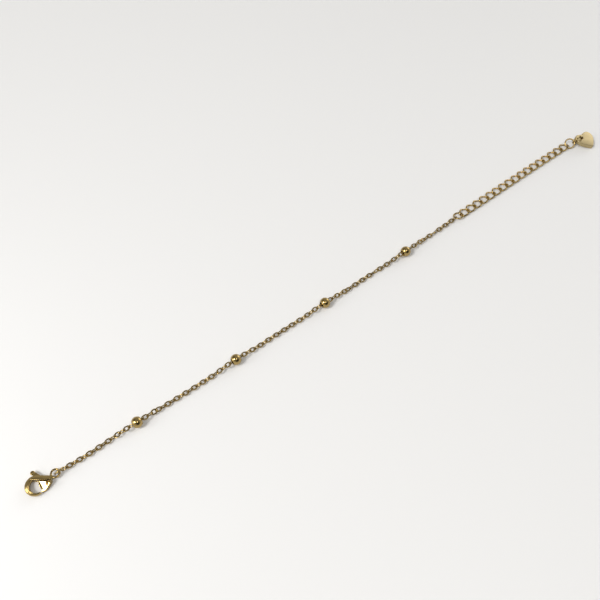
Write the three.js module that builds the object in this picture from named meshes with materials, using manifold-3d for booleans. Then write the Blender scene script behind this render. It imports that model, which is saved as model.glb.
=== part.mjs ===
// A gold-tone satellite-chain bracelet, unfastened and laid out straight on a flat surface: a lobster
// clasp, a fine cable chain carrying four ball beads, a curb extender and a flat heart charm.
// Millimetres, +Z up, +X from the clasp to the heart, z = 0 on the surface that the bracelet lies on.
// While it is built, x = 0 is the middle of the first bead and y = 0 is the line through the beads.
// At the end the whole bracelet is moved so that the origin is below the middle of its footprint.
import * as THREE from "three";
import { mergeVertices } from "three/addons/utils/BufferGeometryUtils.js";
import Module from "manifold-3d";

const wasm = await Module();
wasm.setup();

// ---- Driving dimensions ----

// Ball beads, bored through along the chain.
const BEAD_COUNT = 4;
const BEAD_SPACING = 30;
const BEAD_RADIUS = 1.5;
const BEAD_HOLE_RADIUS = 0.8;

// The cable chain: 1.45 mm wide links of fine wire, which one plain tube stands for.
const CHAIN_RADIUS = 0.72;
const CHAIN_REST_HEIGHT = 0.74; // centre line of the chain where it lies on the surface
const CHAIN_LIFT_LENGTH = 7; // how far from a bead the chain leaves the surface
const CHAIN_START = -19.75;
const CHAIN_END = 110.1;
const CHAIN_STEP = 3.6; // length of one tube segment, 2.5 diameters
const CHAIN_SIDES = 8;
const PIECE_GAP = 0.3;

// The line along which everything lies, as gently waved as a chain put down by hand.
const ROUTE = [
  { x: -24, y: 0.62 },
  { x: -19, y: 0.42 },
  { x: -14, y: 0.22 },
  { x: -7, y: 0.34 },
  { x: 0, y: 0.06 },
  { x: 7, y: 0.18 },
  { x: 15, y: 0.03 },
  { x: 30, y: 0 },
  { x: 45, y: 0.16 },
  { x: 60, y: 0 },
  { x: 78, y: 0.2 },
  { x: 90, y: 0.03 },
  { x: 97, y: 0.48 },
  { x: 104, y: 0.62 },
  { x: 112, y: 0.95 },
  { x: 122, y: 1.1 },
  { x: 132, y: 1.27 },
  { x: 146, y: 1.5 },
  { x: 165, y: 1.65 },
];

// The lobster clasp, in its own frame: its hook is centred on (0, 0) and its end ring lies along +X.
const CLASP_PLACE = { x: -27.69, y: 0.62 };
const HOOK_OUTER = 2.55;
const CLASP_HEIGHT = 1.7;
const CLASP_BEVEL = 0.3;
const CHEEK = 0.45; // thickness of each cheek beside the lever's slot
const EYE = { x: 0.1, y: -0.3, across: 1.5, along: 1.85 }; // the hook grows slender towards its tip
const EYE_FLAT = { distance: 1.14, angle: 52 }; // the straight side of the eye, where the cheeks begin
const NECK = { x: 4.3, near: -0.65, far: -0.05 }; // the end of the cheeks, where the ring begins
const RING_X = 5.2;
const RING_OUTER = 1.3;
const RING_HOLE = 0.78;
const RING_HEIGHT = 0.52;
const PIVOT = { x: 1.9, y: 0.85 };
const PIN_RADIUS = 0.3;

// The lever of the clasp: a thumb tab, a bored hub and a gate that closes the hook.
const LEVER_THICKNESS = 0.6;
const PIN_CLEARANCE = 0.06;
const HUB_RADIUS = 0.62;
const STEM_WIDTH = 0.96;
const TAB = { x: 0.8, y: 3.25, radius: 0.58 };
const GATE_HEIGHT = 1.5;

// Jump rings: the middle of the ring, its centre-line radius, its wire, how it leans and turns.
const CLASP_JUMP_RING = { x: -21.45, y: 0.5, z: 1.195, radius: 1.1, wire: 0.45, lean: 28.2, turn: 8.3 };
const FIRST_RING = { x: 112.43, y: 1.02, z: 0.68, radius: 1.42, wire: 0.46, lean: 72, turn: -5.8 };
const END_RING = { x: 162.74, y: 1.23, z: 1.12, radius: 1.5, wire: 0.46, lean: 123.7, turn: -41.8 };
const CHARM_RING = { x: 165.17, y: 0.376, z: 1.99, radius: 1.76, wire: 0.42, lean: 16.3, turn: -11 };

// The extender: curb links that are twisted so that all of them lie flat.
const CURB_STRETCHES = [4, 4, 4, 5]; // links in each soldered stretch
const CURB_START = 114.9; // middle of the first link
const CURB_RADIUS = 1.2; // half the width of a link, from centre line to centre line
const CURB_STRETCH = 0.86; // how much longer than wide a link is
const CURB_WIRE = 0.46;
const CURB_TWIST = -36; // degrees from the middle of a link to its end
const CURB_BITE = 0.39; // distance between the centre lines of two wires that touch
const CURB_SLACK = 0.18; // air where two stretches meet
const CURB_HEIGHT = 0.633; // centre line above the surface

// The heart charm. Its own frame has the tip on +Y and the tops of its lobes on y = 0.
const HEART_WIDTH = 7;
const HEART_LENGTH = 6;
const HEART_NOTCH = 0.6; // depth of the notch between the lobes
const HEART_WIDEST = 0.32; // how far down its length the heart is widest
const HEART_THICKNESS = 1.25;
const HEART_BEVEL = 0.15;
const HEART_HOLE = { x: 1.23, y: 1.45, radius: 0.74 };
const HEART_PLACE = { x: 168.1, y: 1.9 };
const HEART_TURN = 176.5; // degrees about Z
const HEART_TILT = 10.5; // degrees, the bored lobe rides on the charm ring's wire

// ---- Finishes ----

const GOLD = new THREE.MeshStandardMaterial({ color: 0xcfae68, roughness: 0.22, metalness: 1 });
const SATIN_GOLD = new THREE.MeshStandardMaterial({ color: 0xc9ab7c, roughness: 0.45, metalness: 1 });

// ---- Helpers ----

const degrees = THREE.MathUtils.degToRad;

// A closed geometry as a solid that can be joined to others and cut.
function solid(geometry) {
  const bare = new THREE.BufferGeometry();
  const flat = geometry.index ? geometry.toNonIndexed() : geometry;
  bare.setAttribute("position", flat.getAttribute("position"));
  const merged = mergeVertices(bare, 1e-4);
  return new wasm.Manifold(
    new wasm.Mesh({
      numProp: 3,
      vertProperties: new Float32Array(merged.attributes.position.array),
      triVerts: new Uint32Array(merged.index.array),
    }),
  );
}

// A solid, or a plain geometry, as a named mesh.
function piece(name, shape, material) {
  if (shape.isBufferGeometry) return named(name, new THREE.Mesh(shape, material));
  const { numProp, vertProperties, triVerts, numVert } = shape.getMesh();
  const places = new Float32Array(numVert * 3);
  for (let i = 0; i < numVert; i++)
    places.set(vertProperties.subarray(i * numProp, i * numProp + 3), i * 3);
  const geometry = new THREE.BufferGeometry();
  geometry.setAttribute("position", new THREE.BufferAttribute(places, 3));
  geometry.setIndex(new THREE.BufferAttribute(new Uint32Array(triVerts), 1));
  geometry.computeVertexNormals();
  return named(name, new THREE.Mesh(geometry, material));
}

function named(name, mesh) {
  mesh.name = name;
  return mesh;
}

// A plan outline as a plate from low to high, with its edges rounded by bevel.
function plate(shape, low, high, { bevel = 0, rounding = 2, curve = 12 } = {}) {
  const geometry = new THREE.ExtrudeGeometry(shape, {
    depth: high - low - 2 * bevel,
    bevelEnabled: bevel > 0,
    bevelThickness: bevel,
    bevelSize: bevel,
    bevelOffset: -bevel,
    bevelSegments: rounding,
    curveSegments: curve,
  });
  return geometry.translate(0, 0, low + bevel);
}

function disc(x, y, radius) {
  return new THREE.Shape().absarc(x, y, radius, 0, 2 * Math.PI, false);
}

function polygon(points) {
  return new THREE.Shape(points.map(([x, y]) => new THREE.Vector2(x, y)));
}

// ---- The route ----

const routeCurve = new THREE.CatmullRomCurve3(
  ROUTE.map(({ x, y }) => new THREE.Vector3(x, y, 0)),
);

// How far to the side the bracelet lies at x.
function sideways(x) {
  let low = 0;
  let high = 1;
  for (let i = 0; i < 40; i++) {
    const middle = (low + high) / 2;
    if (routeCurve.getPoint(middle).x < x) low = middle;
    else high = middle;
  }
  return routeCurve.getPoint(low).y;
}

// How high the chain's centre line is at x: it comes out of the beads at their middle and sinks
// to the surface between them.
function chainHeight(x) {
  const nearest = THREE.MathUtils.clamp(Math.round(x / BEAD_SPACING), 0, BEAD_COUNT - 1);
  const away = Math.abs(x - nearest * BEAD_SPACING) - BEAD_RADIUS;
  const sunk = THREE.MathUtils.smoothstep(away, 0, CHAIN_LIFT_LENGTH);
  return THREE.MathUtils.lerp(BEAD_RADIUS, CHAIN_REST_HEIGHT, sunk);
}

// ---- Chain and beads ----

// One stretch of the chain as a tube from start to end along the route.
function chainTube(start, end) {
  const steps = Math.ceil((end - start) / CHAIN_STEP);
  const points = [];
  for (let i = 0; i <= steps; i++) {
    const x = THREE.MathUtils.lerp(start, end, i / steps);
    points.push(new THREE.Vector3(x, sideways(x), chainHeight(x)));
  }
  const section = new THREE.Shape(
    Array.from({ length: CHAIN_SIDES }, (_, i) => {
      const angle = ((i + 0.5) / CHAIN_SIDES) * 2 * Math.PI;
      return new THREE.Vector2(CHAIN_RADIUS * Math.cos(angle), CHAIN_RADIUS * Math.sin(angle));
    }),
  );
  return new THREE.ExtrudeGeometry(section, {
    steps,
    extrudePath: new THREE.CatmullRomCurve3(points),
  });
}

// A ball turned round the chain's axis, with its bore.
function bead(x) {
  const mouth = Math.acos(BEAD_HOLE_RADIUS / BEAD_RADIUS);
  const profile = [];
  const around = 12;
  for (let i = 0; i <= around; i++) {
    const angle = THREE.MathUtils.lerp(-mouth, mouth, i / around);
    profile.push(new THREE.Vector2(BEAD_RADIUS * Math.cos(angle), BEAD_RADIUS * Math.sin(angle)));
  }
  profile.push(profile[0].clone());
  return new THREE.LatheGeometry(profile, 24)
    .rotateZ(-Math.PI / 2)
    .translate(x, sideways(x), BEAD_RADIUS);
}

// ---- Rings and links ----

// A ring of round wire about the Z axis, pulled into an oval that is longer along X by stretch.
function wireRing(radius, wire, stretch, sides, around) {
  const ring = new THREE.TorusGeometry(radius, wire / 2, sides, around).rotateZ(Math.PI / around);
  const place = ring.getAttribute("position");
  for (let i = 0; i < place.count; i++) {
    const angle = Math.atan2(place.getY(i), place.getX(i));
    place.setX(i, place.getX(i) + (Math.cos(angle) * stretch) / 2);
  }
  return ring;
}

// A jump ring that stands on edge along +X at lean 0 and lies flat at lean 90.
function jumpRing({ x, y, z, radius, wire, lean, turn = 0 }) {
  return wireRing(radius, wire, 0, 8, 24)
    .rotateX(degrees(90 + lean))
    .rotateZ(degrees(turn))
    .translate(x, y, z);
}

// A curb link round the origin, twisted about X.
function curbLink() {
  const link = wireRing(CURB_RADIUS, CURB_WIRE, CURB_STRETCH, 6, 16);
  const reach = CURB_RADIUS + CURB_STRETCH / 2;
  const place = link.getAttribute("position");
  const point = new THREE.Vector3();
  for (let i = 0; i < place.count; i++) {
    point.fromBufferAttribute(place, i);
    point.applyAxisAngle(new THREE.Vector3(1, 0, 0), degrees(CURB_TWIST) * (point.x / reach));
    place.setXYZ(i, point.x, point.y, point.z);
  }
  return link;
}

// A stretch of curb links in one solid, from the middle of its first link.
function curbStretch(count, start, pitch) {
  let stretch = null;
  for (let i = 0; i < count; i++) {
    const x = start + i * pitch;
    const link = solid(curbLink().translate(x, sideways(x), CURB_HEIGHT));
    stretch = stretch ? stretch.add(link) : link;
  }
  return stretch;
}

// ---- The clasp ----

// The clasp's drop-shaped outline: the hook's circle with a tangent down each side to the neck.
function claspOutline() {
  const { x, near, far } = NECK;
  const spread = (y) => Math.acos(HOOK_OUTER / Math.hypot(x, y));
  const start = Math.atan2(far, x) + spread(far);
  const end = Math.atan2(near, x) - spread(near) + 2 * Math.PI;
  return new THREE.Shape()
    .moveTo(x, near)
    .lineTo(x, far)
    .absarc(0, 0, HOOK_OUTER, start, end, false)
    .lineTo(x, near);
}

// The open eye of the hook, cut straight where the cheeks begin.
function claspEye() {
  const outline = new THREE.Shape().absellipse(EYE.x, EYE.y, EYE.across, EYE.along, 0, 2 * Math.PI, false, 0);
  const angle = degrees(EYE_FLAT.angle);
  return solid(plate(outline, -1, CLASP_HEIGHT + 1, { curve: 28 })).trimByPlane(
    [-Math.cos(angle), -Math.sin(angle), 0],
    -EYE_FLAT.distance,
  );
}

// The mouth: the open side of the clasp, which the gate fills, from the cheeks to the hook's tip.
function mouthOutline() {
  return polygon([
    [0.5, 0.2],
    [1.1, 0.58],
    [2.75, -0.5],
    [3.75, -0.8],
    [4.4, -3.5],
    [0.4, -3.5],
    [0.4, -2.32],
    [0.1, -2.22],
    [-0.2, -1.9],
  ]);
}

function claspBody() {
  const low = (CLASP_HEIGHT - RING_HEIGHT) / 2;
  const drop = solid(plate(claspOutline(), 0, CLASP_HEIGHT, { bevel: CLASP_BEVEL, curve: 28 }));
  const mouth = solid(plate(mouthOutline(), -1, CLASP_HEIGHT + 1));
  const slot = solid(plate(slotOutline(), CHEEK, CLASP_HEIGHT - CHEEK));
  const pin = solid(plate(disc(PIVOT.x, PIVOT.y, PIN_RADIUS), 0.1, CLASP_HEIGHT - 0.1));
  const ring = solid(plate(disc(RING_X, 0, RING_OUTER), low, low + RING_HEIGHT, { bevel: 0.12 }));
  const hole = solid(plate(disc(RING_X, 0, RING_HOLE), -1, CLASP_HEIGHT + 1));
  return drop.subtract(claspEye()).subtract(mouth).subtract(slot).add(pin).add(ring).subtract(hole);
}

// The slot between the cheeks, open to the mouth, to the eye and to the back where the tab moves.
function slotOutline() {
  return polygon([
    [0.6, -2],
    [NECK.x - 0.75, -1.4],
    [NECK.x - 0.75, 0.05],
    [2.95, 0.75],
    [2.75, 3],
    [0.05, 3.2],
    [0.55, 1.6],
    [0.6, 0.6],
  ]);
}

// The lever in plan: the thin plate that turns between the cheeks, and the thicker gate outside them.
function claspLever() {
  const low = (CLASP_HEIGHT - LEVER_THICKNESS) / 2;
  const high = low + LEVER_THICKNESS;
  const tabLean = Math.atan2(TAB.y - PIVOT.y, TAB.x - PIVOT.x);
  const side = new THREE.Vector2(-Math.sin(tabLean), Math.cos(tabLean)).multiplyScalar(STEM_WIDTH / 2);
  const stem = polygon([
    [PIVOT.x - side.x, PIVOT.y - side.y],
    [TAB.x - side.x, TAB.y - side.y],
    [TAB.x + side.x, TAB.y + side.y],
    [PIVOT.x + side.x, PIVOT.y + side.y],
  ]);
  const web = polygon([
    [PIVOT.x - HUB_RADIUS, PIVOT.y],
    [1.3, -0.4],
    [2.9, -0.8],
    [PIVOT.x + HUB_RADIUS, PIVOT.y],
  ]);
  const hub = disc(PIVOT.x, PIVOT.y, HUB_RADIUS);
  const bore = disc(PIVOT.x, PIVOT.y, PIN_RADIUS + PIN_CLEARANCE);
  const round = { bevel: 0.12 };
  return solid(plate(hub, low, high))
    .add(solid(plate(web, low, high)))
    .add(solid(plate(stem, low, high)))
    .add(solid(plate(disc(TAB.x, TAB.y, TAB.radius), low - 0.15, high + 0.15, round)))
    .add(gate())
    .subtract(solid(plate(bore, -1, CLASP_HEIGHT + 1)));
}

// The gate: a wedge that carries on the clasp's outline, hollowed from above between its two walls.
function gate() {
  const low = (CLASP_HEIGHT - GATE_HEIGHT) / 2;
  const wedge = polygon([
    [1.26, 0.08],
    [1.3, -0.7],
    [1.3, -1.4],
    [1.22, -1.78],
    [0.98, -2.02],
    [0.5, -2.11],
    [0.5, -2.25],
    [0.9, -2.37],
    [1.4, -2.49],
    [2.1, -2.3],
    [2.8, -1.98],
    [3.4, -1.58],
    [3.85, -1.15],
    [3.72, -0.98],
    [2.7, -0.7],
    [1.4, 0.08],
  ]);
  const pocket = polygon([
    [2.62, -0.88],
    [2.22, -1.5],
    [2.38, -1.95],
    [3.28, -1.14],
  ]);
  return solid(plate(wedge, low, low + GATE_HEIGHT, { bevel: 0.08, rounding: 1 })).subtract(
    solid(plate(pocket, CLASP_HEIGHT / 2, CLASP_HEIGHT + 1)),
  );
}

// ---- The heart ----

function heartOutline() {
  const w = HEART_WIDTH / 2;
  const tip = HEART_LENGTH;
  const lobe = 0.52 * w;
  const widest = HEART_WIDEST * tip;
  return new THREE.Shape()
    .moveTo(0, HEART_NOTCH)
    .bezierCurveTo(0.1 * w, 0.02 * tip, 0.44 * w, 0, lobe, 0)
    .bezierCurveTo(0.93 * w, 0, w, 0.18 * tip, w, widest)
    .bezierCurveTo(w, 0.54 * tip, 0.28 * w, 0.91 * tip, 0, tip)
    .bezierCurveTo(-0.28 * w, 0.91 * tip, -w, 0.54 * tip, -w, widest)
    .bezierCurveTo(-w, 0.18 * tip, -0.93 * w, 0, -lobe, 0)
    .bezierCurveTo(-0.44 * w, 0, -0.1 * w, 0.02 * tip, 0, HEART_NOTCH);
}

function heartCharm() {
  const blank = plate(heartOutline(), 0, HEART_THICKNESS, { bevel: HEART_BEVEL, curve: 8 });
  const hole = disc(HEART_HOLE.x, HEART_HOLE.y, HEART_HOLE.radius);
  return solid(blank).subtract(solid(plate(hole, -1, HEART_THICKNESS + 1)));
}

// ---- The bracelet ----

function buildClasp() {
  const clasp = new THREE.Group();
  clasp.add(piece("clasp_body", claspBody(), GOLD));
  clasp.add(piece("clasp_lever", claspLever(), GOLD));
  clasp.position.set(CLASP_PLACE.x, CLASP_PLACE.y, 0);
  return clasp;
}

function buildChain() {
  const chain = new THREE.Group();
  const faceX = Math.sqrt(BEAD_RADIUS ** 2 - BEAD_HOLE_RADIUS ** 2) + PIECE_GAP;
  for (let i = 0; i <= BEAD_COUNT; i++) {
    const start = i === 0 ? CHAIN_START : (i - 1) * BEAD_SPACING + faceX;
    const end = i === BEAD_COUNT ? CHAIN_END : i * BEAD_SPACING - faceX;
    chain.add(piece(`chain_${i + 1}`, chainTube(start, end), GOLD));
  }
  for (let i = 0; i < BEAD_COUNT; i++)
    chain.add(piece(`bead_${i + 1}`, bead(i * BEAD_SPACING), GOLD));
  return chain;
}

function buildExtender() {
  const extender = new THREE.Group();
  const pitch = 2 * CURB_RADIUS + CURB_STRETCH - CURB_BITE;
  let start = CURB_START;
  CURB_STRETCHES.forEach((count, i) => {
    extender.add(piece(`extender_${i + 1}`, curbStretch(count, start, pitch), GOLD));
    start += count * pitch - CURB_SLACK;
  });
  return extender;
}

// The heart rests on its tip and on its far lobe, tipped up about the line through those two.
function buildHeart() {
  const heart = piece("heart_charm", heartCharm(), SATIN_GOLD);
  const hinge = new THREE.Vector3(-HEART_WIDTH / 2, (HEART_WIDEST - 1) * HEART_LENGTH, 0).normalize();
  const tipped = new THREE.Quaternion().setFromAxisAngle(hinge, degrees(HEART_TILT));
  heart.quaternion.setFromAxisAngle(new THREE.Vector3(0, 0, 1), degrees(HEART_TURN)).multiply(tipped);
  const lowest = new THREE.Box3().setFromObject(heart, true).min.z;
  heart.position.set(HEART_PLACE.x, HEART_PLACE.y, -lowest);
  return heart;
}

const bracelet = new THREE.Group();
bracelet.add(
  buildClasp(),
  buildChain(),
  buildExtender(),
  piece("clasp_jump_ring", jumpRing(CLASP_JUMP_RING), GOLD),
  piece("first_ring", jumpRing(FIRST_RING), GOLD),
  piece("end_ring", jumpRing(END_RING), GOLD),
  piece("charm_ring", jumpRing(CHARM_RING), GOLD),
  buildHeart(),
);
const footprint = new THREE.Box3().setFromObject(bracelet, true);
const middle = footprint.getCenter(new THREE.Vector3());
bracelet.position.set(-middle.x, -middle.y, -footprint.min.z);

export default bracelet;
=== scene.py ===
# %% [markdown]
# # A fine satellite-chain bracelet, unfastened and laid out straight
#
# The bracelet is gold-tone steel: a lobster clasp, a fine cable chain that carries four ball beads,
# a curb-link extender, and a flat heart on the last ring. A bench jeweller buys these as findings and
# joins them with jump rings, so this lesson makes them one finding at a time.
#
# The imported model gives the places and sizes. Its plain solids are what the physics collides with;
# here each one is replaced by a finer piece in the same place, and the chain tubes by their links.

import math
import random

import bmesh
import bpy
from mathutils import Matrix, Quaternion, Vector


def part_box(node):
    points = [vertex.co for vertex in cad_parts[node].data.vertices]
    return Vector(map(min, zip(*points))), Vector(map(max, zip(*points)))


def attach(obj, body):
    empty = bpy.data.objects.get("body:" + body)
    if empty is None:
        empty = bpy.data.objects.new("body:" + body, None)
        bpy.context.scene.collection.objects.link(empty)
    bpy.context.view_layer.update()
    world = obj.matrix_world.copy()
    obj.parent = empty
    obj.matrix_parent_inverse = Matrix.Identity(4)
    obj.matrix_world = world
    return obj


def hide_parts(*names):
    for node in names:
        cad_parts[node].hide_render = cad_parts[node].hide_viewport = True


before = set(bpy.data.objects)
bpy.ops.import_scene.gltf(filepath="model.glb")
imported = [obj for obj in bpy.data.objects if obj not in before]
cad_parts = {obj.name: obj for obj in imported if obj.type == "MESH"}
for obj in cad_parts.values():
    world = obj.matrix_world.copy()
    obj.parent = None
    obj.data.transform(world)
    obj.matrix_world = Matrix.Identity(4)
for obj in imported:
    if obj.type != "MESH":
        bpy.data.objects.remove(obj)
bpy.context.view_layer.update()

# %% [markdown]
# ## One bench, one ruler
#
# Jewellery is drawn in millimetres and Blender works in metres. Every piece below is modelled in
# millimetres, where the numbers are easy to read, and is scaled to metres once, when it is finished.
# x runs along the bracelet from the clasp to the heart, and z is the height above the table. The
# ruler's zero is under the first bead, whose box in the frame says where that is. The bead itself
# lies a hair to the left of the ruler's line, as the whole chain wanders about it.

# %% The ruler: its zero and the way from the bench to the frame
MM = 0.001
BEAD_BESIDE_LINE = 0.06
bead_low, bead_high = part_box("bead_1")
ZERO = Vector(((bead_low.x + bead_high.x) / 2, (bead_low.y + bead_high.y) / 2 - BEAD_BESIDE_LINE * MM, 0))
BENCH_TO_FRAME = Matrix.Translation(ZERO) @ Matrix.Scale(MM, 4)


def bench_box(node):
    """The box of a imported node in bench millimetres."""
    low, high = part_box(node)
    return (low - ZERO) / MM, (high - ZERO) / MM


BEAD_SPACING = bench_box("bead_2")[0].x - bench_box("bead_1")[0].x
BEAD_RADIUS = bench_box("bead_1")[1].z / 2
print(f"beads: {2 * BEAD_RADIUS:.2f} mm across, {BEAD_SPACING:.2f} mm apart")

# %% [markdown]
# ## The camera
#
# The camera is held above and in front of the clasp, so the chain runs from the lower left to the
# upper right. It looks at a point on the table near the third bead, with its horizon level, through
# a 42 mm lens on a 36 mm sensor.

# %% Camera
CAMERA_PLACE = Vector((-8.6, -80.4, 166.8))
CAMERA_LOOKS_AT = Vector((55.5, 5.7, 0.0))


def to_frame(point):
    return BENCH_TO_FRAME @ Vector(point)


def aim(thing, place, target):
    """Puts a camera or a lamp at place and points it at target, both in bench millimetres."""
    thing.location = to_frame(place)
    direction = to_frame(target) - to_frame(place)
    thing.rotation_euler = direction.to_track_quat("-Z", "Y").to_euler()
    bpy.context.scene.collection.objects.link(thing)
    return thing


camera_data = bpy.data.cameras.new("camera")
camera_data.lens = 42
camera_data.sensor_width = 36
camera_data.clip_start = 0.01
camera = aim(bpy.data.objects.new("camera", camera_data), CAMERA_PLACE, CAMERA_LOOKS_AT)
bpy.context.scene.camera = camera
print(f"camera {(CAMERA_PLACE - CAMERA_LOOKS_AT).length:.0f} mm from the point it looks at")

# %% [markdown]
# ## Table, room and lamps
#
# Polished metal has hardly any look of its own: it shows the room. So the bracelet lies on a bright
# table, in a room that is pale low down and darker overhead, under a few soft lamps whose reflections
# become the highlights. The darker zone overhead is what gives gold its brown lights.

# %% Table
FLOOR_SIZE = 4.0
FLOOR_COLOUR = (0.92, 0.92, 0.925, 1)
FLOOR_ROUGHNESS = 0.5


def new_material(name):
    """A material with a node tree, its shader and its output ready to use."""
    material = bpy.data.materials.new(name)
    material.use_nodes = True
    return material, material.node_tree, material.node_tree.nodes["Principled BSDF"]


def make_floor():
    bm = bmesh.new()
    bmesh.ops.create_grid(bm, x_segments=1, y_segments=1, size=FLOOR_SIZE / 2)
    mesh = bpy.data.meshes.new("floor")
    bm.to_mesh(mesh)
    bm.free()
    floor = bpy.data.objects.new("floor", mesh)
    bpy.context.scene.collection.objects.link(floor)
    material, _, shader = new_material("pale_table")
    shader.inputs["Base Color"].default_value = FLOOR_COLOUR
    shader.inputs["Roughness"].default_value = FLOOR_ROUGHNESS
    mesh.materials.append(material)


make_floor()
print("table", FLOOR_SIZE, "m square")

# %% Room: its tones by height, and what stands in it
ROOM_TONES = (
    # height on the unit sphere, brightness
    (0.00, 0.70),
    (0.20, 0.57),
    (0.50, 0.49),
    (0.80, 0.44),
    (1.00, 0.40),
)
ROOM_PATCHES = (
    # what it is, azimuth and elevation in degrees, reach and softness in degrees, brightness
    ("maker at the bench", -86, 38, 24, 20, 0.07),
    ("far wall in shade", 108, 36, 12, 20, 0.24),
    ("open door", 14, 15, 9, 13, 2.5),
    ("net curtain", 162, 24, 16, 14, 1.3),
)


def direction_of(azimuth, elevation):
    """The direction at an azimuth from +X and an elevation above the table, in degrees."""
    a, e = math.radians(azimuth), math.radians(elevation)
    return Vector((math.cos(a) * math.cos(e), math.sin(a) * math.cos(e), math.sin(e)))


def grey(tone):
    """A grey of the room, a little warm."""
    return (tone, tone * 0.99, tone * 0.96, 1)


def make_room():
    """A world whose tone follows the height, with soft round patches laid over it one by one."""
    world = bpy.data.worlds.new("room")
    world.use_nodes = True
    tree = world.node_tree
    where = tree.nodes.new("ShaderNodeTexCoord")
    split = tree.nodes.new("ShaderNodeSeparateXYZ")
    ramp = tree.nodes.new("ShaderNodeValToRGB")
    tree.links.new(where.outputs["Generated"], split.inputs[0])
    tree.links.new(split.outputs["Z"], ramp.inputs["Fac"])
    stops = ramp.color_ramp.elements
    while len(stops) < len(ROOM_TONES):
        stops.new(0.5)
    for stop, (height, tone) in zip(stops, ROOM_TONES):
        stop.position = height
        stop.color = grey(tone)
    seen = ramp.outputs["Color"]
    for _, azimuth, elevation, reach, softness, tone in ROOM_PATCHES:
        near = tree.nodes.new("ShaderNodeVectorMath")
        near.operation = "DOT_PRODUCT"
        near.inputs[1].default_value = direction_of(azimuth, elevation)
        tree.links.new(where.outputs["Generated"], near.inputs[0])
        edge = tree.nodes.new("ShaderNodeMapRange")
        edge.interpolation_type = "SMOOTHSTEP"
        edge.inputs["From Min"].default_value = math.cos(math.radians(reach + softness))
        edge.inputs["From Max"].default_value = math.cos(math.radians(reach))
        tree.links.new(near.outputs["Value"], edge.inputs["Value"])
        patch = tree.nodes.new("ShaderNodeMix")
        patch.data_type = "RGBA"
        patch.inputs["B"].default_value = grey(tone)
        tree.links.new(edge.outputs["Result"], patch.inputs["Factor"])
        tree.links.new(seen, patch.inputs["A"])
        seen = patch.outputs["Result"]
    tree.links.new(seen, tree.nodes["Background"].inputs["Color"])
    bpy.context.scene.world = world


make_room()
bpy.context.scene.view_settings.view_transform = "Standard"
print("room patches:", [patch[0] for patch in ROOM_PATCHES])


# %% Lamps: soft boxes
LAMP_COLOUR = (1, 0.985, 0.96)
MIDDLE = Vector((70, 0, 0))
CLASP_END = Vector((-27, 0, 0))
LAMPS = (
    # name, the point it faces, azimuth and elevation in degrees, distance and size in mm, watts
    ("window", MIDDLE, 177, 50, 1000, 297, 4.7),
    ("ceiling_lamp", MIDDLE, -90, 66, 800, 240, 0.85),
    ("bounce_card", CLASP_END, 150, 34, 110, 50, 0.02),
)


def soft_box(name, faces, azimuth, elevation, distance, size, power):
    """A round soft box that faces a point of the bench."""
    lamp = bpy.data.lights.new(name, "AREA")
    lamp.shape = "DISK"
    lamp.size = size * MM
    lamp.energy = power
    lamp.color = LAMP_COLOUR
    place = faces + direction_of(azimuth, elevation) * distance
    return aim(bpy.data.objects.new(name, lamp), place, faces)


lamps = [soft_box(*lamp) for lamp in LAMPS]
print("lamps:", [lamp.name for lamp in lamps])

# %% [markdown]
# ## Two finishes
#
# The findings are steel under a thin pale gold coating. Most are tumbled in a barrel until they
# shine, which leaves very fine scratches that run every way. The heart is stamped from sheet and has
# a satin face. Both are a metallic shader: the coating's colour is its reflection, and small noise
# in roughness and bump breaks up the highlights. The patterns read Object coordinates, so they stay
# on the piece wherever the camera goes.


# %% Noise for the finishes
NOISE_MIDDLE = (0.3, 0.7)


def link_noise(tree, scale, detail):
    """A noise pattern on the piece. Its scale is in features per metre."""
    where = tree.nodes.new("ShaderNodeTexCoord")
    noise = tree.nodes.new("ShaderNodeTexNoise")
    noise.inputs["Scale"].default_value = scale
    noise.inputs["Detail"].default_value = detail
    tree.links.new(where.outputs["Object"], noise.inputs["Vector"])
    return noise.outputs["Fac"]


def spread(tree, factor, low, high):
    """The noise factor's middle stretched over a range of values."""
    node = tree.nodes.new("ShaderNodeMapRange")
    node.inputs["From Min"].default_value = NOISE_MIDDLE[0]
    node.inputs["From Max"].default_value = NOISE_MIDDLE[1]
    node.inputs["To Min"].default_value = low
    node.inputs["To Max"].default_value = high
    tree.links.new(factor, node.inputs["Value"])
    return node.outputs["Result"]


print("noise between", *NOISE_MIDDLE, "is stretched over each range")


# %% The gold finishes
DRIFT_SCALE = 900
SCRATCH_DEPTH = 0.00001


def gold_finish(name, pale, deep, rough, grain, bump):
    """Coated steel: its colour drifts between two golds, and its grain is in roughness and bump."""
    material, tree, shader = new_material(name)
    shader.inputs["Metallic"].default_value = 1.0
    drift = tree.nodes.new("ShaderNodeMix")
    drift.data_type = "RGBA"
    drift.inputs["A"].default_value = (*pale, 1)
    drift.inputs["B"].default_value = (*deep, 1)
    tree.links.new(spread(tree, link_noise(tree, DRIFT_SCALE, detail=2), 0, 1), drift.inputs["Factor"])
    tree.links.new(drift.outputs["Result"], shader.inputs["Base Color"])
    fine = link_noise(tree, grain, detail=4)
    tree.links.new(spread(tree, fine, *rough), shader.inputs["Roughness"])
    relief = tree.nodes.new("ShaderNodeBump")
    relief.inputs["Strength"].default_value = bump
    relief.inputs["Distance"].default_value = SCRATCH_DEPTH
    tree.links.new(fine, relief.inputs["Height"])
    tree.links.new(relief.outputs["Normal"], shader.inputs["Normal"])
    return material


POLISHED = gold_finish(
    "polished_gold",
    pale=(0.43, 0.31, 0.13),
    deep=(0.39, 0.28, 0.105),
    rough=(0.05, 0.11),
    grain=9000,
    bump=0.12,
)
SATIN = gold_finish(
    "satin_gold",
    pale=(0.49, 0.395, 0.215),
    deep=(0.455, 0.365, 0.195),
    rough=(0.3, 0.4),
    grain=14000,
    bump=0.35,
)
print("finishes:", POLISHED.name, SATIN.name)

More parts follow.
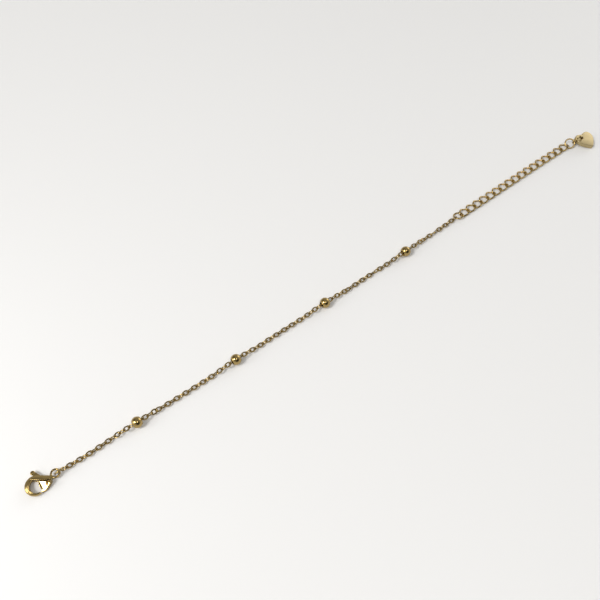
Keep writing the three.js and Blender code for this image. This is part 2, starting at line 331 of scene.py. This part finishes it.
# %% [markdown]
# ## Finishing a piece
#
# Every piece leaves the bench the same way. Its faces are turned outwards once its doubles are
# merged, it is scaled and moved into the frame, and it gets its finish.


# %% From a bmesh to a finished piece
MERGE_WITHIN = 1e-5


def finish_piece(bm, name, node, body="bracelet", finish=POLISHED, facets=40):
    """Takes a bmesh off the bench. An edge that turns by more than facets, in degrees, stays sharp."""
    bmesh.ops.remove_doubles(bm, verts=bm.verts[:], dist=MERGE_WITHIN)
    bmesh.ops.recalc_face_normals(bm, faces=bm.faces[:])
    bmesh.ops.transform(bm, matrix=BENCH_TO_FRAME, verts=bm.verts[:])
    for face in bm.faces:
        face.smooth = True
    for edge in bm.edges:
        if edge.is_manifold and edge.calc_face_angle(0) > math.radians(facets):
            edge.smooth = False
    mesh = bpy.data.meshes.new(name)
    bm.to_mesh(mesh)
    bm.free()
    mesh.materials.append(finish)
    made = bpy.data.objects.new(name, mesh)
    bpy.context.scene.collection.objects.link(made)
    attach(made, body)
    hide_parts(node)
    mesh.calc_loop_triangles()
    print(f"{name}: {len(mesh.loop_triangles)} triangles, in place of {node}")


print(f"one bench millimetre is {(to_frame((1, 0, 0)) - to_frame((0, 0, 0))).length:.4f} m in the frame")

# %% [markdown]
# ## Wire rings
#
# Jump rings, cable links and curb links are all the same thing: wire wound on a mandrel and sawn
# through. So one helper serves them all. It spins the section of the wire about the ring's middle,
# and draws the ring out evenly where the link is oval. The wire can be rolled flat, as the cable
# links are, so that each has a broad face. A jump ring keeps the hairline cut where its ends meet;
# the links of a machine-made chain are welded shut.


# %% Wire rings
def wire_ring(radius, wire, stretch=0.0, around=24, sides=10, cut=0.0, flat=1.0):
    """A ring round the Z axis, drawn out along X by stretch, with a gap of cut at +X.

    flat is the wire's height over its width.
    """
    bm = bmesh.new()
    upright = Matrix.Translation((radius, 0, 0)) @ Matrix.Rotation(math.radians(90), 4, "X")
    section = upright @ Matrix.Diagonal((1, flat, 1, 1))
    bmesh.ops.create_circle(bm, segments=sides, radius=wire / 2, cap_ends=cut > 0, matrix=section)
    gap = cut / radius
    start = gap / 2 if cut else math.pi / around
    bmesh.ops.rotate(bm, verts=bm.verts[:], matrix=Matrix.Rotation(start, 3, "Z"))
    bmesh.ops.spin(
        bm,
        geom=bm.verts[:] + bm.edges[:] + bm.faces[:],
        cent=(0, 0, 0),
        axis=(0, 0, 1),
        angle=2 * math.pi - gap,
        steps=around,
        use_merge=not cut,
    )
    for v in bm.verts:
        v.co.x += v.co.xy.normalized().x * stretch / 2
    return bm


def placed_copies(link_bm, places):
    """One bmesh that holds a copy of a link at each of the matrices in places."""
    pattern = bpy.data.meshes.new("pattern")
    link_bm.to_mesh(pattern)
    link_bm.free()
    row = bmesh.new()
    for place in places:
        before = len(row.verts)
        row.from_mesh(pattern)
        row.verts.ensure_lookup_table()
        bmesh.ops.transform(row, matrix=place, verts=row.verts[before:])
    bpy.data.meshes.remove(pattern)
    return row


test_ring = wire_ring(1.0, 0.4)
closed = all(edge.is_manifold for edge in test_ring.edges)
print("a plain ring has", len(test_ring.faces), "faces, and is closed:", closed)
test_ring.free()

# %% [markdown]
# ## The line of the chain
#
# A chain put down by hand is never quite straight. The line wanders by a millimetre or so, and it
# climbs from the table to the middle of each bead, because the bead's radius is about twice the height
# at which the chain lies. Both are functions of x, so that links, beads and extender share one line.

# %% Where the chain lies
ROUTE = (
    # x, y
    (-24, 0.62),
    (-19, 0.42),
    (-14, 0.22),
    (-7, 0.34),
    (0, BEAD_BESIDE_LINE),
    (7, 0.18),
    (15, 0.03),
    (30, 0),
    (45, 0.16),
    (60, 0),
    (78, 0.2),
    (90, 0.03),
    (97, 0.48),
    (104, 0.62),
    (112, 0.95),
    (122, 1.1),
    (132, 1.27),
    (146, 1.5),
    (165, 1.65),
)
BEAD_COUNT = 4
REST_HEIGHT = 0.72
LIFT_LENGTH = 7.0


def smoothstep(value):
    """Climbs from 0 to 1 with a soft start and a soft end."""
    value = min(max(value, 0.0), 1.0)
    return value * value * (3 - 2 * value)


def sideways(x):
    """How far to the side the bracelet lies at x: a smooth curve through the route's points."""
    last = len(ROUTE) - 2
    i = min(max(sum(1 for point in ROUTE if point[0] <= x) - 1, 0), last)
    (x0, y0), (x1, y1) = ROUTE[i], ROUTE[i + 1]
    before, after = ROUTE[max(i - 1, 0)], ROUTE[min(i + 2, last + 1)]
    slope0 = (y1 - before[1]) / (x1 - before[0])
    slope1 = (after[1] - y0) / (after[0] - x0)
    t = (x - x0) / (x1 - x0)
    span = x1 - x0
    rise = (2 * t**3 - 3 * t**2 + 1) * y0 + (3 * t**2 - 2 * t**3) * y1
    return rise + span * ((t**3 - 2 * t**2 + t) * slope0 + (t**3 - t**2) * slope1)


def chain_height(x):
    """The height of the chain's middle: the bead's own inside a bead, and REST_HEIGHT far from one."""
    nearest = min(max(round(x / BEAD_SPACING), 0), BEAD_COUNT - 1)
    away = abs(x - nearest * BEAD_SPACING) - BEAD_RADIUS
    sunk = smoothstep(away / LIFT_LENGTH)
    return BEAD_RADIUS + (REST_HEIGHT - BEAD_RADIUS) * sunk


def on_line(x):
    """The point of the chain's line at x."""
    return Vector((x, sideways(x), chain_height(x)))


print("middle of the second gap:", [round(c, 2) for c in on_line(1.5 * BEAD_SPACING)])

# %% [markdown]
# ## Cable links
#
# A cable chain alternates: one link lies flat and the next stands on edge, each with its neighbour's
# wire in its bow. Over a hand's length the chain also takes up a few quarter turns, and there the
# links lean half way. So each link gets its place on the line, the direction of the line, and a roll
# about it: 90 degrees more than the link before, plus those quarter turns, plus a little play.

# %% How a cable link lies
LINK_LENGTH = 2.14
LINK_WIDTH = 1.52
LINK_WIRE = 0.41
LINK_FLAT = 0.75
FIRST_LINK = -20.1
LAST_LINK = 110.6
LINK_GAPS = 99
QUARTER_TURNS = (5.3, 67.7, 78.2, 96.7, 101.5)
TURN_REACH = 1.3
PLAY_DEGREES = 5.0
LOOK_AROUND = 0.2


def chain_roll(x, number):
    """How far link number is rolled about the line, in radians. Each call draws its play."""
    turned = number + sum(smoothstep((x - turn) / (2 * TURN_REACH) + 0.5) for turn in QUARTER_TURNS)
    return math.radians(90 * (turned + 1) + random.uniform(-PLAY_DEGREES, PLAY_DEGREES))


def link_place(x, number):
    """The matrix that puts a link on the line at x, its length along the line."""
    along = (on_line(x + LOOK_AROUND) - on_line(x - LOOK_AROUND)).normalized()
    across = Vector((0, 0, 1)).cross(along).normalized()
    up = along.cross(across)
    turned = Matrix((along, across, up)).transposed().to_4x4()
    return Matrix.Translation(on_line(x)) @ turned @ Matrix.Rotation(chain_roll(x, number), 4, "X")


print(f"a link is {LINK_LENGTH} mm by {LINK_WIDTH} mm, of wire rolled {LINK_WIRE * LINK_FLAT:.2f} mm thin")


# %% Cable links, in stretches between the beads
CHAIN_SEED = 4


def make_chain():
    """All the links, in one piece for each stretch between two beads."""
    random.seed(CHAIN_SEED)
    pitch = (LAST_LINK - FIRST_LINK) / LINK_GAPS
    stretches = [[] for _ in range(BEAD_COUNT + 1)]
    for number in range(LINK_GAPS + 1):
        x = FIRST_LINK + number * pitch
        stretch = min(max(math.ceil(x / BEAD_SPACING), 0), BEAD_COUNT)
        stretches[stretch].append(link_place(x, number))
    bow = (LINK_WIDTH - LINK_WIRE) / 2
    for i, places in enumerate(stretches, start=1):
        link = wire_ring(bow, LINK_WIRE, LINK_LENGTH - LINK_WIDTH, around=20, sides=8, flat=LINK_FLAT)
        finish_piece(placed_copies(link, places), f"cable_links_{i}", f"chain_{i}")
    print(f"{LINK_GAPS + 1} links, {pitch:.3f} mm from one to the next")


make_chain()

# %% [markdown]
# ## Ball beads
#
# The beads are seamless balls, bored through and threaded on the chain. A lathe makes one in a single
# pass, and so does a spin: the half section of the ball, with a soft edge at each mouth of the bore
# and the bore's own wall, goes once round the chain's axis.


# %% A lathe
def turn_on_lathe(profile, axis, sides, closed=False):
    """Takes a profile once round an axis through the bench's zero."""
    bm = bmesh.new()
    verts = [bm.verts.new(point) for point in profile]
    following = verts[1:] + verts[:1] if closed else verts[1:]
    for one, other in zip(verts, following):
        bm.edges.new((one, other))
    bmesh.ops.spin(
        bm,
        geom=bm.verts[:] + bm.edges[:],
        cent=(0, 0, 0),
        axis=axis,
        angle=2 * math.pi,
        steps=sides,
        use_merge=True,
    )
    return bm


def arc(radius, start, end, steps, middle=(0, 0)):
    """Points along an arc, its first and last included."""
    angles = [start + (end - start) * i / steps for i in range(steps + 1)]
    return [(middle[0] + radius * math.cos(a), middle[1] + radius * math.sin(a)) for a in angles]


print("a quarter turn of radius 1 ends at", [round(c, 3) for c in arc(1, 0, math.pi / 2, 8)[-1]])

# %% Ball beads
BEAD_SIDES = 40
BEAD_STEPS = 20
BORE_RADIUS = 0.8
MOUTH_EDGE = 0.1
MOUTH_BEND_IN = 0.01
MOUTH_BEND_UP = 0.03


def bead_section():
    """The half section in the plane of x and z, from one mouth over the ball and back through the bore."""
    mouth = math.asin((BORE_RADIUS + MOUTH_EDGE) / BEAD_RADIUS)
    ball = arc(BEAD_RADIUS, math.pi - mouth, mouth, BEAD_STEPS)
    end = ball[-1][0]
    one_side = [(end - MOUTH_BEND_IN, BORE_RADIUS + MOUTH_BEND_UP), (end - MOUTH_EDGE, BORE_RADIUS)]
    other_side = [(-x, z) for x, z in reversed(one_side)]
    return [(x, 0, z) for x, z in ball + one_side + other_side]


def make_bead(number):
    x = (number - 1) * BEAD_SPACING
    bm = turn_on_lathe(bead_section(), axis=(1, 0, 0), sides=BEAD_SIDES, closed=True)
    bmesh.ops.translate(bm, verts=bm.verts[:], vec=(x, sideways(x), BEAD_RADIUS))
    finish_piece(bm, f"ball_bead_{number}", f"bead_{number}")


for bead_number in range(1, BEAD_COUNT + 1):
    make_bead(bead_number)

# %% [markdown]
# ## The extender
#
# A curb chain is made of round links that are twisted until they all lie in one plane, so it has
# places for the clasp to hook at every link. The twist is what lets a link pass over one neighbour
# and under the other. Each link starts as an oval wire ring, and its ends are turned opposite ways.

# %% Curb links
CURB_COUNTS = (4, 4, 4, 5)
CURB_START = 114.9
CURB_PITCH = 2.836
CURB_RADIUS = 1.22
CURB_STRETCH = 0.92
CURB_WIRE = 0.52
CURB_TWIST = -38
CURB_HEIGHT = 0.633


def curb_link():
    """One link at the bench's zero, twisted about its length."""
    link = wire_ring(CURB_RADIUS, CURB_WIRE, CURB_STRETCH, around=28, sides=10)
    reach = CURB_RADIUS + CURB_STRETCH / 2
    for v in link.verts:
        twist = math.radians(CURB_TWIST) * v.co.x / reach
        v.co.rotate(Quaternion((1, 0, 0), twist))
    return link


def make_extender():
    """The links in a row along the chain's line, in as many pieces as there are counts."""
    number = 0
    for i, count in enumerate(CURB_COUNTS, start=1):
        places = []
        for _ in range(count):
            x = CURB_START + number * CURB_PITCH
            places.append(Matrix.Translation((x, sideways(x), CURB_HEIGHT)))
            number += 1
        finish_piece(placed_copies(curb_link(), places), f"curb_links_{i}", f"extender_{i}")
    print(number, "curb links")


make_extender()

# %% [markdown]
# ## Jump rings
#
# Four jump rings join the findings. Each leans the way its neighbours let it fall: the first stands
# on edge between the clasp and the chain, the second lies almost flat where the extender begins, and
# at the other end the third is tilted by the larger ring that stands in it and carries the heart.
# Each is wound flat on the bench, then leant over and turned about the upright.

# %% Jump rings
RING_CUT = 0.03
RING_CUT_AT = 120
RINGS = {
    "clasp_jump_ring": {"at": (-21.45, 0.5, 1.195), "radius": 1.1, "wire": 0.45, "lean": 28.2, "turn": 8.3},
    "first_ring": {"at": (112.43, 1.02, 0.68), "radius": 1.42, "wire": 0.46, "lean": 72, "turn": -5.8},
    "end_ring": {"at": (162.74, 1.23, 1.12), "radius": 1.5, "wire": 0.46, "lean": 123.7, "turn": -41.8},
    "charm_ring": {"at": (165.17, 0.376, 1.99), "radius": 1.76, "wire": 0.42, "lean": 16.3, "turn": -11},
}


def make_jump_ring(node, at, radius, wire, lean, turn):
    bm = wire_ring(radius, wire, around=48, sides=14, cut=RING_CUT)
    cut_turned = Matrix.Rotation(math.radians(RING_CUT_AT), 4, "Z")
    leant = Matrix.Rotation(math.radians(90 + lean), 4, "X")
    turned = Matrix.Rotation(math.radians(turn), 4, "Z")
    bmesh.ops.transform(bm, matrix=Matrix.Translation(at) @ turned @ leant @ cut_turned, verts=bm.verts[:])
    finish_piece(bm, f"{node}_wire", node)


for ring_node, ring in RINGS.items():
    make_jump_ring(ring_node, **ring)

# %% [markdown]
# ## Plates, cuts and tumbling
#
# The clasp and the heart begin as outlines. A bench worker saws such a shape from plate, files or
# drills it, and tumbles it until its edges are soft. The same three steps are helpers here: a plate
# is extruded from its outline, boolean modifiers join and cut it, and a remesh in small even faces
# can be relaxed as tumbling would.


# %% Plates from an outline
def outline_plate(points, low, high):
    """A flat plate between two heights."""
    bm = bmesh.new()
    face = bm.faces.new([bm.verts.new((x, y, low)) for x, y in points])
    made = bmesh.ops.extrude_face_region(bm, geom=[face])
    top = [v for v in made["geom"] if isinstance(v, bmesh.types.BMVert)]
    bmesh.ops.translate(bm, verts=top, vec=(0, 0, high - low))
    bmesh.ops.recalc_face_normals(bm, faces=bm.faces[:])
    return bm


def crowned_plate(points, low, high, side, shoulder, steps=6):
    """A plate whose upright side is only `side` high: above and below it the faces curve inwards."""
    middle = (low + high) / 2
    bm = outline_plate(points, middle - side / 2, middle + side / 2)
    rise = (high - low - side) / 2
    for up in (-1, 1):
        face = max(bm.faces, key=lambda f: f.calc_center_median().z * up)
        for i in range(steps):
            a, b = (math.pi / 2 * k / steps for k in (i, i + 1))
            inwards = shoulder * (math.cos(a) - math.cos(b))
            upwards = rise * (math.sin(b) - math.sin(a))
            bmesh.ops.inset_region(
                bm, faces=[face], thickness=inwards, depth=upwards, use_even_offset=True, use_boundary=True
            )
    return bm


def circle(radius, count, middle):
    """The outline of a disc, as count points."""
    return arc(radius, 0, 2 * math.pi * (count - 1) / count, count - 1, middle)


test_plate = crowned_plate(circle(1, 12, (0, 0)), 0, 1, side=0.6, shoulder=0.2)
print(f"a crowned disc 2 mm wide and 1 mm thick holds {test_plate.calc_volume():.2f} mm3")
test_plate.free()


# %% Joining and cutting
def bench_object(bm, name):
    """A passing object for the modifiers to work on."""
    mesh = bpy.data.meshes.new(name)
    bm.to_mesh(mesh)
    bm.free()
    made = bpy.data.objects.new(name, mesh)
    bpy.context.scene.collection.objects.link(made)
    return made


def combine(body_bm, steps):
    """Joins solids to a body or cuts them from it, in order.

    steps holds pairs of "UNION" or "DIFFERENCE" and a bmesh.
    """
    body = bench_object(body_bm, "bench_body")
    tools = []
    for operation, bm in steps:
        tool = bench_object(bm, "bench_tool")
        tools.append(tool)
        boolean = body.modifiers.new("join", "BOOLEAN")
        boolean.operation = operation
        boolean.solver = "EXACT"
        boolean.object = tool
    return body, tools


def lift_off(body, tools):
    """Gives a combined body back as a bmesh, and clears it and its tools off the bench."""
    graph = bpy.context.evaluated_depsgraph_get()
    mesh = bpy.data.meshes.new_from_object(body.evaluated_get(graph))
    bm = bmesh.new()
    bm.from_mesh(mesh)
    bpy.data.meshes.remove(mesh)
    for thing in [body, *tools]:
        bpy.data.meshes.remove(thing.data)
    return bm


washer = lift_off(
    *combine(
        outline_plate(circle(1, 24, (0, 0)), 0, 1),
        [("DIFFERENCE", outline_plate(circle(0.5, 24, (0, 0)), -1, 2))],
    )
)
print(f"a drilled disc keeps {washer.calc_volume() / math.pi:.2f} of a round 1 mm one")
washer.free()


# %% Tumbling
def tumble(body, tools, voxel, rounds):
    """Remeshes the joined body in even small faces, and relaxes its edges."""
    remesh = body.modifiers.new("even", "REMESH")
    remesh.mode = "VOXEL"
    remesh.voxel_size = voxel
    relax = body.modifiers.new("tumble", "SMOOTH")
    relax.factor = 0.5
    relax.iterations = rounds
    return lift_off(body, tools)


test_cube = tumble(*combine(outline_plate([(0, 0), (1, 0), (1, 1), (0, 1)], 0, 1), []), voxel=0.1, rounds=5)
print(f"a tumbled 1 mm cube keeps {test_cube.calc_volume():.2f} mm3")
test_cube.free()

# %% [markdown]
# ## The clasp's casting
#
# A lobster clasp is cast in one piece: the hook, the two cheeks that hold the lever, and the end
# ring. The casting is puffed, thick in the middle and soft at every edge. A flat drop is remeshed in
# small faces, and each point's height is then set by how deep it lies inside the outline: a round
# edge first, then a gentle slope to the crown. The eye, the mouth and the lever's slot are cut out
# of it, and the whole is tumbled.

# %% The casting's sizes
CLASP_LOW, CLASP_HIGH = bench_box("clasp_body")
CLASP_HEIGHT = CLASP_HIGH.z
CLASP_MIDDLE = CLASP_HEIGHT / 2
HOOK_OUTER = 2.55
HOOK_MIDDLE = Vector((CLASP_LOW.x + HOOK_OUTER, 0.62, 0))
NECK_X = 4.3
NECK_NEAR = -0.65
NECK_FAR = -0.05
NECK_HEIGHT = 0.62
CHEEK = 0.45
OVERSHOOT = 1
print(f"clasp: {CLASP_HIGH.x - CLASP_LOW.x:.1f} mm long and {CLASP_HEIGHT:.2f} mm thick")

# %% A crowned drop
TAPER_FROM = 2.2
SIDE_HEIGHT = 0.35
SHOULDER = 0.8
EDGE_SHARE = 0.25
EDGE_RISE = 0.54
DROP_VOXEL = 0.08


def drop_outline():
    """The hook's circle with a tangent down each side to the neck, which lies a little off the middle."""

    def touch(y, side):
        return math.atan2(y, NECK_X) + side * math.acos(HOOK_OUTER / math.hypot(NECK_X, y))

    round_the_hook = arc(HOOK_OUTER, touch(NECK_FAR, 1), touch(NECK_NEAR, -1) + 2 * math.pi, 56)
    return [(NECK_X, NECK_FAR), *round_the_hook, (NECK_X, NECK_NEAR)]


def crown(share):
    """How much of its height the casting has at a share of the shoulder's width."""
    share = min(max(share, 0), 1)
    edge = min(share / EDGE_SHARE, 1)
    slope = max(0, share - EDGE_SHARE) / (1 - EDGE_SHARE)
    return EDGE_RISE * math.sqrt(1 - (1 - edge) ** 2) + (1 - EDGE_RISE) * slope


def crowned_drop():
    """The drop before it is cut. Its faces fall at the shoulder to a low side, and it thins to the neck."""
    outline = drop_outline()
    sides = []
    for one, other in zip(outline, outline[1:] + outline[:1]):
        along = (Vector(other) - Vector(one)).normalized()
        outwards = Vector((along.y, -along.x))
        sides.append((outwards, outwards.dot(Vector(one))))
    bm = tumble(*combine(outline_plate(outline, 0, CLASP_HEIGHT), []), voxel=DROP_VOXEL, rounds=0)
    for v in bm.verts:
        depth = min(reach - outwards.dot(v.co.xy) for outwards, reach in sides)
        half = SIDE_HEIGHT / 2 + (CLASP_MIDDLE - SIDE_HEIGHT / 2) * crown(depth / SHOULDER)
        thinner = 1 - (1 - NECK_HEIGHT) * smoothstep((v.co.x - TAPER_FROM) / (NECK_X - TAPER_FROM))
        v.co.z = CLASP_MIDDLE + (v.co.z - CLASP_MIDDLE) * half / CLASP_MIDDLE * thinner
    return bm


print("the drop's outline:", len(drop_outline()), "points")

# %% The eye's cutter
EYE_MIDDLE = Vector((0.1, -0.3, 0))
EYE_ACROSS = 1.5
EYE_ALONG = 1.85
EYE_FLAT = 1.14
EYE_FLAT_SIDE = direction_of(52, 0)
EYE_FLARE = 0.35
EYE_BULGE = 2.5
EYE_STEPS = 8
EYE_SIDES = 56


def eye_wall(share):
    """A point of the cutter's profile at a share of the clasp's height.

    The profile is waisted, so that the hook's inner wall bulges like its outer one.
    """
    off_middle = abs(2 * share - 1)
    flare = EYE_FLARE * (1 - math.sqrt(max(0, 1 - off_middle**EYE_BULGE)))
    return EYE_ALONG + flare, 0, CLASP_HEIGHT * share


def eye_cutter():
    """A waisted oval rod with a flat on the side where the slot begins."""
    wall = [eye_wall(i / EYE_STEPS) for i in range(EYE_STEPS + 1)]
    low, high = -OVERSHOOT, CLASP_HEIGHT + OVERSHOOT
    profile = [(0, 0, low), (wall[0][0], 0, low), *wall, (wall[-1][0], 0, high), (0, 0, high)]
    bm = turn_on_lathe(profile, axis=(0, 0, 1), sides=EYE_SIDES)
    bmesh.ops.remove_doubles(bm, verts=bm.verts[:], dist=1e-4)
    for v in bm.verts:
        v.co.x *= EYE_ACROSS / EYE_ALONG
        v.co += EYE_MIDDLE
        past_flat = v.co.dot(EYE_FLAT_SIDE) - EYE_FLAT
        if past_flat > 0:
            v.co -= EYE_FLAT_SIDE * past_flat
    bmesh.ops.recalc_face_normals(bm, faces=bm.faces[:])
    return bm


print(f"the eye is {2 * EYE_ACROSS:.1f} mm by {2 * EYE_ALONG:.1f} mm before its flat")

# %% The casting
# Both outlines are x, y from the hook's middle.
MOUTH_OUTLINE = [
    (0.5, 0.2), (1.1, 0.58), (2.75, -0.5), (3.75, -0.8), (4.4, -3.5),
    (0.4, -3.5), (0.4, -2.32), (0.1, -2.22), (-0.2, -1.9),
]
SLOT_OUTLINE = [
    (0.6, -2), (3.55, -1.4), (3.55, 0.05), (2.95, 0.75),
    (2.75, 3), (0.05, 3.2), (0.55, 1.6), (0.6, 0.6),
]
END_RING_X = 5.2
END_RING_RADIUS = 1.04
END_RING_WIRE = 0.52
CASTING_VOXEL = 0.06


def make_casting():
    end_ring = wire_ring(END_RING_RADIUS, END_RING_WIRE, around=40, sides=14)
    bmesh.ops.translate(end_ring, verts=end_ring.verts[:], vec=(END_RING_X, 0, CLASP_MIDDLE))
    body, tools = combine(
        crowned_drop(),
        [
            ("DIFFERENCE", eye_cutter()),
            ("DIFFERENCE", outline_plate(MOUTH_OUTLINE, -OVERSHOOT, CLASP_HEIGHT + OVERSHOOT)),
            ("DIFFERENCE", outline_plate(SLOT_OUTLINE, CHEEK, CLASP_HEIGHT - CHEEK)),
            ("UNION", end_ring),
        ],
    )
    bm = tumble(body, tools, voxel=CASTING_VOXEL, rounds=5)
    bmesh.ops.translate(bm, verts=bm.verts[:], vec=HOOK_MIDDLE)
    finish_piece(bm, "clasp_casting", "clasp_body", facets=180)


make_casting()

# %% [markdown]
# ## The lever
#
# The lever is pinned between the cheeks. Its tab stands out at the back for the thumb, and its gate
# closes the mouth of the hook at the casting's own height. A narrow groove runs along its side at
# the eye and a pocket is sunk behind it, and both look dark where the face is bright. The parts are
# joined, cut and tumbled as solids. Then the gate's face is lowered towards the hook's tip, point by
# point, because a slope is hard to saw and easy to file.

# %% The lever's sizes
LEVER_THICKNESS = 0.6
LEVER_LOW = CLASP_MIDDLE - LEVER_THICKNESS / 2
LEVER_HIGH = CLASP_MIDDLE + LEVER_THICKNESS / 2
PIVOT = Vector((1.9, 0.85, 0))
HUB_RADIUS = 0.62
BORE = 0.36
STEM_WIDTH = 0.96
TAB = Vector((0.8, 3.25, 0))
TAB_RADIUS = 0.58
TAB_PROUD = 0.15
GATE_HEIGHT = 1.5
# The outlines are x, y from the hook's middle.
WEB_OUTLINE = [
    (PIVOT.x - HUB_RADIUS, PIVOT.y), (1.3, -0.4), (2.9, -0.8), (PIVOT.x + HUB_RADIUS, PIVOT.y),
]
GATE_OUTLINE = [
    (1.22, 0.1), (0.84, -0.08), (0.75, -0.9), (0.77, -1.55), (0.86, -1.98), (0.5, -2.11),
    (0.5, -2.25), (0.9, -2.37), (1.4, -2.49), (2.1, -2.3), (2.8, -1.98), (3.4, -1.58),
    (3.85, -1.15), (3.72, -0.98), (2.7, -0.7), (1.4, 0.08),
]
POCKET_OUTLINE = [(2.62, -0.8), (2.22, -1.5), (2.38, -1.95), (3.28, -1.14)]
POCKET_FLOOR = 0.35
GROOVE_OUTLINE = [
    (1.3, 0.0), (0.96, -0.12), (0.86, -0.9), (0.87, -1.5),
    (0.99, -1.95), (1.2, -1.95), (1.27, -1.4), (1.3, -0.7),
]
GROOVE_FLOOR = 0.3
print(f"the tab is {(TAB - PIVOT).length:.2f} mm from the pivot")


# %% The lever's hub, stem and tab
def hub_and_stem():
    """The lever's thin parts, as solids to join."""
    hub = outline_plate(circle(HUB_RADIUS, 36, PIVOT.xy), LEVER_LOW, LEVER_HIGH)
    web = outline_plate(WEB_OUTLINE, LEVER_LOW, LEVER_HIGH)
    lean = (TAB - PIVOT).normalized()
    side = Vector((-lean.y, lean.x, 0)) * STEM_WIDTH / 2
    corners = [PIVOT - side, TAB - side, TAB + side, PIVOT + side]
    stem = outline_plate([corner.xy for corner in corners], LEVER_LOW, LEVER_HIGH)
    return hub, web, stem


def thumb_tab():
    """A round button, a little thicker than the lever."""
    low, high = LEVER_LOW - TAB_PROUD, LEVER_HIGH + TAB_PROUD
    return crowned_plate(circle(TAB_RADIUS, 36, TAB.xy), low, high, side=0.3, shoulder=0.3)


print(f"the tab stands {TAB_PROUD} mm proud of the lever on both faces")

# %% The lever's gate, and the whole lever
GATE_FALLS_TO = direction_of(-139, 0)
GATE_FALLS_FROM = -1.3
GATE_SLOPE = 0.33
GATE_FACE_FROM = 0.6
LEVER_VOXEL = 0.04


def gate_plate():
    """The gate before its groove and pocket are cut."""
    low, high = CLASP_MIDDLE - GATE_HEIGHT / 2, CLASP_MIDDLE + GATE_HEIGHT / 2
    return crowned_plate(GATE_OUTLINE, low, high, side=1.34, shoulder=0.06, steps=3)


def slope_the_gate(bm):
    """Lowers the gate's face towards the hook's tip, and leaves its underside level."""
    top = CLASP_MIDDLE + GATE_HEIGHT / 2
    for v in bm.verts:
        beyond = v.co.dot(GATE_FALLS_TO) - GATE_FALLS_FROM
        if beyond > 0:
            share = smoothstep((v.co.z - GATE_FACE_FROM) / (top - GATE_FACE_FROM))
            v.co.z -= GATE_SLOPE * beyond * share


def make_lever():
    hub, web, stem = hub_and_stem()
    above = CLASP_HEIGHT + OVERSHOOT
    pocket = outline_plate(POCKET_OUTLINE, POCKET_FLOOR, above)
    groove = outline_plate(GROOVE_OUTLINE, GROOVE_FLOOR, above)
    bore = outline_plate(circle(BORE, 24, PIVOT.xy), -OVERSHOOT, above)
    steps = [("UNION", part) for part in (web, stem, thumb_tab(), gate_plate())]
    steps += [("DIFFERENCE", part) for part in (pocket, groove, bore)]
    body, tools = combine(hub, steps)
    bm = tumble(body, tools, voxel=LEVER_VOXEL, rounds=3)
    slope_the_gate(bm)
    bmesh.ops.translate(bm, verts=bm.verts[:], vec=HOOK_MIDDLE)
    finish_piece(bm, "thumb_lever", "clasp_lever", body="lever", facets=180)


make_lever()

# %% [markdown]
# ## The heart
#
# The heart is stamped from thick sheet, drilled near one lobe, and tumbled so that its rim turns over
# softly. It rests on its tip and on one lobe, and the other lobe is propped up by the last ring,
# which stands on edge in the hole. Half of its outline is three cubic curves, and the other half is
# the same points mirrored.

# %% The heart's outline
HEART_WIDTH = 7.0
HEART_LENGTH = 6.0
HEART_WIDEST = 0.32
CURVE_STEPS = 14
HEART_HALF = (
    # a point and its two handles towards the next, in shares of half the width and of the length
    ((0, 0.1), (0.1, 0.02), (0.44, 0)),
    ((0.52, 0), (0.93, 0), (1, 0.18)),
    ((1, HEART_WIDEST), (1, 0.54), (0.28, 0.91)),
)
HEART_TIP = (0, 1)


def curve_points(start, pull_out, pull_in, end):
    """Points along one cubic curve, without its last."""
    points = []
    for i in range(CURVE_STEPS):
        t = i / CURVE_STEPS
        s = 1 - t
        pulled = pull_out * 3 * s * s * t + pull_in * 3 * s * t * t
        points.append(start * s**3 + pulled + end * t**3)
    return points


def heart_point(share):
    return Vector((share[0] * HEART_WIDTH / 2, share[1] * HEART_LENGTH))


def heart_outline():
    """The heart's outline: from the notch round one lobe to the tip, and back mirrored."""
    right = []
    ends = [row[0] for row in HEART_HALF[1:]] + [HEART_TIP]
    for row, end in zip(HEART_HALF, ends):
        right += curve_points(*(heart_point(share) for share in (*row, end)))
    left = [Vector((-p.x, p.y)) for p in reversed(right[1:])]
    return [tuple(p) for p in [*right, heart_point(HEART_TIP), *left]]


print("the heart's outline:", len(heart_outline()), "points")

# %% The heart
HEART_THICKNESS = 1.25
HEART_RIM = 0.15
HEART_HOLE = (1.23, 1.45)
HEART_HOLE_RADIUS = 0.74
HEART_TURN = 176.5
HEART_TILT = 10.5


def lay_the_heart(bm):
    """Turns the heart, tips it about the line from its tip to its low lobe, and lays it in its place."""
    low_lobe = heart_point((-1, HEART_WIDEST)) - heart_point(HEART_TIP)
    tilt = Quaternion(low_lobe.to_3d().normalized(), math.radians(HEART_TILT))
    tipped = Quaternion((0, 0, 1), math.radians(HEART_TURN)) @ tilt
    bmesh.ops.rotate(bm, verts=bm.verts[:], cent=(0, 0, 0), matrix=tipped.to_matrix())
    low, high = bench_box("heart_charm")
    own_low = Vector([min(v.co[axis] for v in bm.verts) for axis in range(3)])
    own_high = Vector([max(v.co[axis] for v in bm.verts) for axis in range(3)])
    bmesh.ops.translate(bm, verts=bm.verts[:], vec=(low + high - own_low - own_high) / 2)


def make_heart():
    upright = HEART_THICKNESS - 2 * HEART_RIM
    plate = crowned_plate(heart_outline(), 0, HEART_THICKNESS, side=upright, shoulder=HEART_RIM)
    drill = circle(HEART_HOLE_RADIUS, 32, HEART_HOLE)
    hole = outline_plate(drill, -OVERSHOOT, HEART_THICKNESS + OVERSHOOT)
    bm = lift_off(*combine(plate, [("DIFFERENCE", hole)]))
    lay_the_heart(bm)
    finish_piece(bm, "heart_plate", "heart_charm", finish=SATIN, facets=35)


make_heart()
